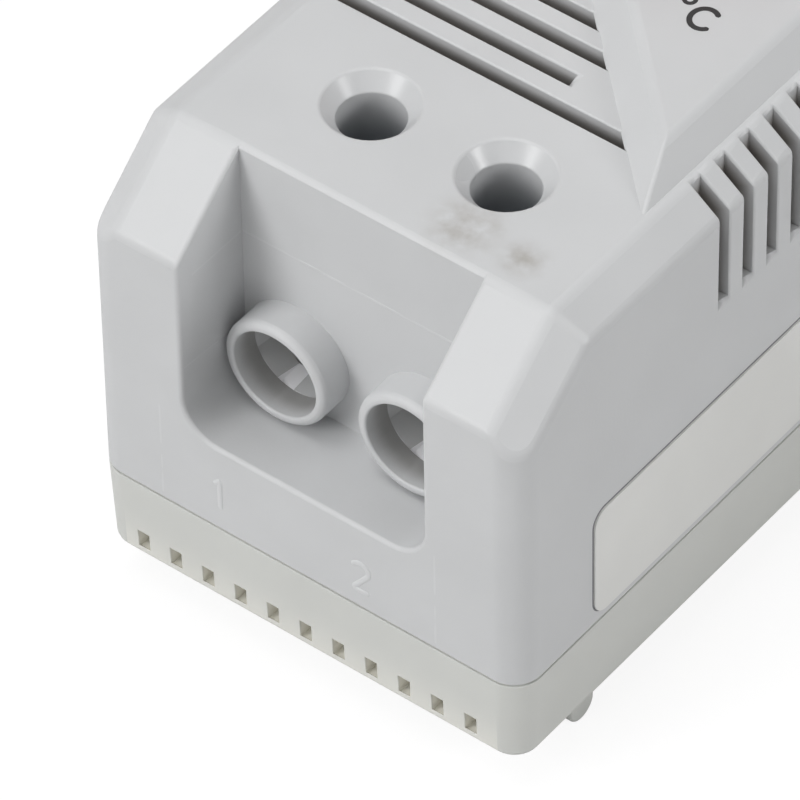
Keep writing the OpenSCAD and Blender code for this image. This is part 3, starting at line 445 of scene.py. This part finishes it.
def dress_cad_nodes():
    """Each node that came with the frame takes the finish of its slot."""
    for node, piece in frame["nodes"].items():
        dress(piece, SLOT_FINISH[NODE_SLOT[node]])


def new_piece(name, mesh, material, body=None):
    """Puts a mesh into the scene as a finished piece, which rides on a body where one is given."""
    piece = bpy.data.objects.new(name, mesh)
    bpy.context.scene.collection.objects.link(piece)
    dress(piece, material)
    if body:
        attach(piece, body)
    return piece


def merged(node):
    """A copy of a node's mesh with its doubles merged and its flat faces joined, as bmesh."""
    work = bmesh.new()
    work.from_mesh(frame["nodes"][node].data)
    bmesh.ops.remove_doubles(work, verts=work.verts, dist=WELD * MM)
    bmesh.ops.dissolve_limit(work, angle_limit=math.radians(LEVEL_ANGLE), verts=work.verts,
                             edges=work.edges)
    return work


def smooth_mesh(work, name):
    """Makes a bmesh a mesh with smooth faces."""
    mesh = bpy.data.meshes.new(name)
    for face in work.faces:
        face.smooth = True
    work.to_mesh(mesh)
    work.free()
    return mesh


def turns_more(edge, angle):
    """Whether the two faces at an edge turn by more than an angle in degrees."""
    return len(edge.link_faces) == 2 and edge.calc_face_angle() > math.radians(angle)


def rounded_copy(node, width, weigh, segments=3):
    """A node's solid again with rounded edges. weigh gets arrays of each sharp convex edge's two
    ends and its two faces' normals, in millimetres, and returns the radius of each, up to width."""
    work = merged(node)
    layer = work.edges.layers.float.new("bevel_weight_edge")
    sharp = [edge for edge in work.edges if turns_more(edge, ROUND_ANGLE) and edge.is_convex]
    ends = np.array([[v.co for v in edge.verts] for edge in sharp]) / MM
    normals = np.array([[f.normal for f in edge.link_faces] for edge in sharp])
    for edge, radius in zip(sharp, weigh(ends, normals)):
        edge[layer] = min(radius / width, 1.0)
    for edge in work.edges:
        edge.smooth = not turns_more(edge, SHARP_ANGLE)
    slot = NODE_SLOT[node]
    name = node + "_finished"
    piece = new_piece(name, smooth_mesh(work, name), SLOT_FINISH[slot], NODE_BODY[node])
    bevel = piece.modifiers.new("rounded edges", "BEVEL")
    bevel.limit_method = "WEIGHT"
    bevel.width = width * MM
    bevel.segments = segments
    bevel.use_clamp_overlap = False
    bevel.loop_slide = False
    level = piece.modifiers.new("level faces", "WEIGHTED_NORMAL")
    level.keep_sharp = True
    level.weight = 80
    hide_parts(node)


def shortening_coil(node, axis):
    """A spring again, as one smooth piece between the housing and the body that presses its upper or far
    end. The ends of its coil along the axis are found, but nothing makes the coil shorten as that body
    moves."""
    low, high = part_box(node)
    slot = NODE_SLOT[node]
    name = node + "_coil"
    coil = new_piece(name, smooth_mesh(merged(node), name), SLOT_FINISH[slot])
    start, end = (low + high) / 2, (low + high) / 2
    start[axis], end[axis] = low[axis], high[axis]
    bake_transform(coil)
    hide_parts(node)


def side_depth(points):
    """How deep points lie inside the rounded rectangle of the housing's plan."""
    qx = np.abs(points[..., 0]) - (HALF_W - CORNER_R)
    qy = np.abs(points[..., 1]) - (HALF_L - CORNER_R)
    return CORNER_R - np.hypot(np.maximum(qx, 0), np.maximum(qy, 0)) - np.minimum(np.maximum(qx, qy), 0)


def cover_depth(points):
    """How deep points lie inside the cover's outer form: sides, top, end slopes and bevels."""
    x, y, z = np.abs(points[..., 0]), np.abs(points[..., 1]), points[..., 2]
    slope_len = math.hypot(SLOPE_RUN, SLOPE_DROP)
    slope = -((y - HALF_L + SLOPE_RUN) * SLOPE_DROP + (z - TOP_Z) * SLOPE_RUN) / slope_len
    past = x - HALF_W + BEVEL_RUN
    bevel = -(past * BEVEL_DROP + (z - TOP_Z) * BEVEL_RUN) / BEVEL_LEN
    end_bevel = -(past * BEVEL_DROP - slope * BEVEL_RUN) / BEVEL_LEN
    return np.minimum.reduce([side_depth(points), TOP_Z - z, slope, bevel, end_bevel])


def cover_radii(ends, normals):
    """Radius of each edge of the cover: body, pocket, fins, seam, sleeve rims and screw holes."""
    # How far in from an end a fin lies, what an edge rises if it is steep, in millimetres, and how
    # squarely a fin's face looks along the housing
    well_in, steep_rise, squarely = 1.0, 0.5, 0.9
    x, y, z = ends.mean(1).T
    outside = (cover_depth(ends) < FLAT * 2).all(1)
    radii = np.where(outside, BODY_ROUND, 0.0)
    faces_end = (np.abs(normals[..., 1]) > squarely).any(1)
    fin = faces_end & (np.abs(y) < HALF_L - well_in) & (y > POCKET_Y + well_in)
    radii[outside & fin] = FIN_ROUND
    in_pocket = (np.abs(x) < POCKET_HALF + FLAT) & (y < POCKET_Y + FLAT)
    by_height = np.interp(z, [POCKET_Z, POCKET_Z + POCKET_R], [LIP_ROUND, POCKET_ROUND])
    radii[outside & in_pocket] = by_height[outside & in_pocket]
    radii[outside & in_pocket & (y > POCKET_Y - FLAT)] = LIP_ROUND
    on_shelf_line = (np.abs(np.abs(ends[..., 0]) - HALF_W + BEVEL_RUN) < FLAT).all(1)
    radii[outside & on_shelf_line & (y > SHELF_Y)] = SHELF_ROUND
    steep = (np.abs(ends[:, 0, 2] - ends[:, 1, 2]) > steep_rise) & (z > TOP_Z)
    radii[outside & steep] = WING_ROUND
    radii[outside & (z < SEAM_Z + FLAT)] = SEAM_ROUND
    sleeve = np.hypot(np.abs(ends[..., 0]) - SLEEVE_X, ends[..., 2] - SLEEVE_Z)
    at_mouth = (np.abs(ends[..., 1] - SLEEVE_Y) < 2 * FLAT).all(1)
    radii[at_mouth & (np.abs(sleeve - SLEEVE_R) < RIM_SLACK).all(1)] = SLEEVE_ROUND
    radii[at_mouth & (np.abs(sleeve - SLEEVE_BORE_R) < RIM_SLACK).all(1)] = BORE_ROUND
    hole = np.hypot(np.abs(ends[..., 0]) - SLEEVE_X, ends[..., 1] - ACCESS_Y)
    radii[(hole < 2 * ACCESS_R).all(1) & outside] = FIN_ROUND
    at_sink = (np.abs(hole - ACCESS_R) < RIM_SLACK).all(1) & (z > ACCESS_SINK_Z - FLAT)
    radii[at_sink] = FIN_ROUND / 2
    under_knob = np.hypot(x, y - KNOB_Y) < KNOB_HIGH[0] - FLAT
    radii[under_knob & (z > TOP_Z)] = 0
    return radii


def base_radii(ends, normals):
    """Radius of each edge of the base plate: its foot, its seam step and its windows."""
    seam_step = 0.45
    z = ends.mean(1)[:, 2]
    shown = (side_depth(ends) < seam_step).all(1) & (z > BASE_Z - FLAT)
    radii = np.where(shown, SEAM_ROUND, 0.0)
    at_foot = (np.abs(ends[..., 2] - BASE_Z) < FLAT).all(1)
    radii[shown & at_foot] = BODY_ROUND
    radii[z < BASE_Z - FLAT] = SEAM_ROUND
    return radii


def all_equal(radius):
    """Every sharp edge gets the same radius."""
    return lambda ends, normals: np.full(len(ends), radius)


def face_outwards(mesh, weld=None):
    """Turns a mesh's faces outwards, after points nearer than the weld in millimetres are joined."""
    work = bmesh.new()
    work.from_mesh(mesh)
    if weld:
        bmesh.ops.remove_doubles(work, verts=work.verts, dist=weld * MM)
    bmesh.ops.recalc_face_normals(work, faces=work.faces)
    work.to_mesh(mesh)
    work.free()


def strip_surface(name, rows, material, round_trip=False):
    """A closed strip of quads on the housing: rows is an array (steps, ring, 3) in millimetres, each
    ring closed. The last ring joins the first on a round trip, and otherwise both are capped."""
    steps, ring = rows.shape[:2]
    step, spot = np.meshgrid(np.arange(steps if round_trip else steps - 1), np.arange(ring), indexing="ij")
    onward = (step + 1) % steps
    turn = (spot + 1) % ring
    quads = np.stack([step * ring + spot, onward * ring + spot, onward * ring + turn,
                      step * ring + turn], -1).reshape(-1, 4)
    faces = quads.tolist()
    if not round_trip:
        faces += [list(range(ring)), list(range((steps - 1) * ring, steps * ring))[::-1]]
    mesh = bpy.data.meshes.new(name)
    mesh.from_pydata((rows.reshape(-1, 3) * MM).tolist(), [], faces)
    face_outwards(mesh)
    new_piece(name, mesh, material, "housing")


def run_of(path):
    """Distance along a path up to each of its points."""
    return np.concatenate([[0], np.linalg.norm(np.diff(path, axis=0), axis=1).cumsum()])


def round_ends(run, width):
    """Share of its width that a stroke has at each point of its run: all of it, and at both ends the
    square root of 1 less the square of how far into the end's semicircle the point lies. It is at
    least a tenth, so that the last ring keeps its form."""
    into = np.clip(1 - np.minimum(run, run[-1] - run) / (width / 2), 0, 1)
    return np.sqrt(np.clip(1 - into ** 2, 0.01, 1))


def evenly(points, spacing=0.06):
    """Points at an even spacing along straight lines through the given points."""
    points = np.array(points, float)
    run = run_of(points)
    spots = np.linspace(0, run[-1], max(int(run[-1] / spacing), 2) + 1)
    return np.stack([np.interp(spots, run, points[:, k]) for k in range(points.shape[1])], -1)


def ridge(name, path, out, width, height, material):
    """A low moulded ridge along a path on a flat face: half an ellipse, width by twice height, square
    to the path, with rounded ends. Each point can have its own height."""
    path, out = np.array(path, float), np.array(out, float)
    along = np.gradient(path, axis=0)
    along /= np.linalg.norm(along, axis=1)[:, None]
    across = np.cross(along, out)[:, None]
    taper = round_ends(run_of(path), width)[:, None, None]
    angle = np.linspace(0, math.pi, RIDGE_POINTS)[None, :, None]
    arc = np.cos(angle) * width / 2 * across + np.sin(angle) * np.reshape(height, (-1, 1, 1)) * out
    rows = path[:, None] + taper * arc - RIDGE_SINK * out
    strip_surface(name, rows, material)


def witness_line(name, start, end, out, height=0.035):
    """A fine line that the joint between two inserts of the tool left on a face. Its height wavers
    with two sines of the distance along it."""
    path = evenly([start, end], spacing=0.05)
    run = run_of(path)
    waver = 0.65 + 0.35 * np.sin(2.1 * run) * np.sin(0.83 * run + 1)
    ridge(name, path, out, LINE_W, height * waver, line_plastic)


def lettering(name, words, height, centre):
    """Words of a given height in millimetres, printed flat round a centre and made a mesh."""
    curve = bpy.data.curves.new(name, "FONT")
    curve.body = words
    curve.extrude = 0.02
    source = bpy.data.objects.new(name + "_outline", curve)
    bpy.context.scene.collection.objects.link(source)
    bpy.context.view_layer.update()
    mesh = bpy.data.meshes.new_from_object(source.evaluated_get(bpy.context.evaluated_depsgraph_get()))
    bpy.data.objects.remove(source)
    points = np.zeros(len(mesh.vertices) * 3)
    mesh.vertices.foreach_get("co", points)
    points = points.reshape(-1, 3)
    low, high = points.min(0), points.max(0)
    scale = height / (high[1] - low[1])
    points = (points - (low + high) / 2) * [scale, scale, PRINT_T / (high[2] - low[2])] + centre
    mesh.vertices.foreach_set("co", (points * MM).ravel())
    face_outwards(mesh, weld=0.001)
    new_piece(name, mesh, print_ink, "housing")


def pen_arc(name, centre, radii, start, sweep, pen):
    """A printed arc of an ellipse, as if drawn by a round pen: the centre line is centre plus radii
    times cosine and sine of the angle, and an open arc has rounded ends."""
    whole = sweep >= 360
    turn = np.linspace(0, sweep, ARC_POINTS)
    angle = np.radians(start + (turn[:-1] if whole else turn))
    path = np.array(centre) + np.array(radii) * np.stack([np.cos(angle), np.sin(angle)], -1)
    along = np.stack([-radii[0] * np.sin(angle), radii[1] * np.cos(angle)], -1)
    across = np.stack([along[:, 1], -along[:, 0]], -1) / np.linalg.norm(along, axis=1)[:, None]
    half = np.full(len(angle), pen / 2)
    if not whole:
        half *= round_ends(run_of(path), pen)
    sides = np.stack([path + half[:, None] * across, path - half[:, None] * across], 1)
    low, high = PLATFORM_Z - PRINT_T / 2, PLATFORM_Z + PRINT_T / 2
    rows = np.concatenate([np.dstack([sides, np.full((len(angle), 2), high)]),
                           np.dstack([sides[:, ::-1], np.full((len(angle), 2), low)])], 1)
    strip_surface(name, rows, print_ink, round_trip=whole)


def dial_print():
    """The scale round the knob, printed on the platform, and the unit mark in front of it. Each tick
    is a box on the line from the knob's middle out to its figure."""
    middle = np.array((0, KNOB_Y))
    heights = PLATFORM_Z + np.array((-0.5, 0.5)) * PRINT_T
    for step in range(DIAL_STEPS + 1):
        angle = (step / DIAL_STEPS - 0.5) * math.radians(DIAL_SWEEP)
        out = np.array((math.sin(angle), math.cos(angle)))
        spot = middle + FIGURE_R * out
        lettering(f"scale_number_{step}", str(DIAL_STEP_VALUE * step), FIGURE_H, (*spot, PLATFORM_Z))
        side = np.array((out[1], -out[0])) * TICK_HALF_W
        near, far = middle + TICK_IN_R * out, middle + TICK_OUT_R * out
        ring = np.array([near + side, far + side, far - side, near - side])
        rows = np.stack([np.column_stack([ring, np.full(len(ring), z)]) for z in heights])
        strip_surface(f"scale_mark_{step}", rows, print_ink)
    for name, *stroke in UNIT_MARK:
        pen_arc(name, *stroke)


def pole_numbers():
    """Terminal numbers, raised on the front under the pocket: a flagged 1 and a round-headed 2, whose
    bowl is an arc of an ellipse, 0.62 by 0.6 mm, from 165 to -42 degrees. Each has its middle's x and
    z and its strokes, as points from there."""
    turn = np.radians(np.linspace(165, -42, 24))
    bowl = np.stack([0.62 * np.cos(turn), 0.6 + 0.6 * np.sin(turn)], -1)
    strokes = {
        "1": (-6.55, 12.75, [[(-0.45, 0.78), (0.0, 1.2), (0.0, -1.2)]]),
        "2": (4.33, 12.4, [bowl.tolist() + [(-0.62, -1.2)], [(-0.62, -1.2), (0.66, -1.2)]]),
    }
    for words, (x, z, lines) in strokes.items():
        for count, line in enumerate(lines):
            flat = evenly(line)
            path = np.stack([x + flat[:, 0], np.full(len(flat), -HALF_L), z + flat[:, 1]], -1)
            ridge(f"pole_number_{words}_{count}", path, (0, -1, 0), NUMBER_W, NUMBER_H, highlit_raised_plastic)


def label_edge():
    """A painted shadow round the label: a fine grey line along a rounded rectangle on the wall, where the
    label's edge shades it. It is a circle whose quarters are moved to the label's corners, by the signs of
    the cosine and sine."""
    middle, half = (LABEL_LOW + LABEL_HIGH)[1:] / 2, (LABEL_HIGH - LABEL_LOW)[1:] / 2 - LABEL_R
    turn = np.linspace(0, 2 * math.pi, LABEL_POINTS)
    circle = (LABEL_R + LABEL_SHADOW_OUT) * np.stack([np.cos(turn), np.sin(turn)], -1)
    corner = np.sign(np.round(circle, 6))
    flat = middle + corner * half + circle
    path = np.concatenate([np.full((len(flat), 1), HALF_W), flat], 1)
    ridge("label_edge", evenly(path, spacing=0.1), (1, 0, 0), LABEL_SHADOW_W, LABEL_SHADOW_H, label_edge_shadow)


def witness_lines():
    """Lines that the tool's inserts left on the front, and on the walls of the pocket."""
    front, right = (0, -1, 0), (1, 0, 0)
    faint = 0.02
    low, high = 10.2, 29.0
    witness_line("witness_front_left", (-11.1, -HALF_L, low), (-11.1, -HALF_L, 18.4), front, faint)
    witness_line("witness_front_right", (10.05, -HALF_L, low), (10.05, -HALF_L, 18.2), front, faint)
    witness_line("witness_pocket_back", (-9.2, POCKET_Y, high), (9.2, POCKET_Y, high), front)
    witness_line("witness_pocket_left", (-POCKET_HALF, POCKET_Y - 0.1, high),
                 (-POCKET_HALF, -28.6, high), right)
    witness_line("witness_pocket_low", (-POCKET_HALF, -25.4, 21.6), (-POCKET_HALF, -29.7, 21.9), right)


def room():
    """A plain room. The camera, gloss and glass see it white, and it lights the part evenly."""
    world = bpy.data.worlds.new("room")
    bpy.context.scene.world = world
    tree = empty_tree(world)
    rays = add(tree, "LightPath").node.outputs
    seen = rays["Is Camera Ray"]
    for kind in ("Is Glossy Ray", "Is Transmission Ray"):
        seen = add(tree, "Math", seen, rays[kind], operation="MAXIMUM")
    strength = add(tree, "MapRange", seen, 0.0, 1.0, AMBIENT, 1.0)
    white = add(tree, "Background", Color=(1, 1, 1, 1), Strength=strength)
    add(tree, "OutputWorld", Surface=white)


def lamps():
    """Five soft round lamps. A lamp's power is its level times pi squared times distance squared."""
    for name, direction, level, size, distance in LAMPS:
        lamp = bpy.data.lights.new(name, "AREA")
        lamp.shape = "DISK"
        lamp.size = size
        lamp.energy = level * math.pi ** 2 * distance ** 2
        place = Vector(direction).normalized() * distance
        holder = bpy.data.objects.new(name, lamp)
        holder.location = place + LAMPS_AIM
        holder.rotation_mode = "QUATERNION"
        holder.rotation_quaternion = (-place).to_track_quat("-Z", "Y")
        bpy.context.scene.collection.objects.link(holder)


def paper_floor():
    """A square of white paper, which glows for the camera alone, so that it looks white and keeps the
    part's shadow."""
    mesh = bpy.data.meshes.new("floor")
    corners = [(-1, -1), (1, -1), (1, 1), (-1, 1)]
    mesh.from_pydata([(x * FLOOR_REACH, y * FLOOR_REACH, 0) for x, y in corners], [], [(0, 1, 2, 3)])
    floor = bpy.data.objects.new("floor", mesh)
    floor.location.z = -FLOOR_DROP * MM
    bpy.context.scene.collection.objects.link(floor)
    material = bpy.data.materials.new("floor_paper_white")
    tree = empty_tree(material)
    seen = add(tree, "LightPath").node.outputs["Is Camera Ray"]
    bounce, shadow = [FLOOR_BOUNCE] * 3 + [1], [FLOOR_SHADOW] * 3 + [1]
    paper = add(tree, "Mix", seen, bounce, shadow, data_type="RGBA")
    matt = add(tree, "BsdfDiffuse", Color=paper)
    level = add(tree, "Math", seen, FLOOR_WHITE - FLOOR_SHADOW * FLOOR_LIGHT, operation="MULTIPLY")
    glow = add(tree, "Emission", Color=(1, 1, 1, 1), Strength=level)
    add(tree, "OutputMaterial", Surface=add(tree, "AddShader", matt, glow))
    mesh.materials.append(material)


def camera():
    """The photograph's view: a long lens with a slight roll."""
    data = bpy.data.cameras.new("camera")
    data.sensor_width = CAMERA_SENSOR
    data.lens = CAMERA_LENS
    data.clip_start, data.clip_end = CAMERA_CLIP
    holder = bpy.data.objects.new("camera", data)
    bpy.context.scene.collection.objects.link(holder)
    place = Vector(CAMERA_AT) * MM
    look = Vector(CAMERA_AIM) * MM - place
    holder.location = place
    holder.rotation_mode = "QUATERNION"
    roll = Quaternion((0, 0, 1), math.radians(CAMERA_ROLL))
    holder.rotation_quaternion = look.to_track_quat("-Z", "Y") @ roll
    bpy.context.scene.camera = holder


bpy.context.scene.view_settings.view_transform = "Standard"
camera()
room()
lamps()
paper_floor()
dress_cad_nodes()
rounded_copy("housing_cover", BODY_ROUND, cover_radii)
rounded_copy("base_plate", BODY_ROUND, base_radii)
rounded_copy("setting_knob", KNOB_ROUND, all_equal(KNOB_ROUND), segments=2)
rounded_copy("din_latch", LATCH_ROUND, all_equal(LATCH_ROUND), segments=2)
shortening_coil("latch_spring", axis=1)
shortening_coil("lever_spring", axis=2)
dial_print()
pole_numbers()
label_edge()
witness_lines()
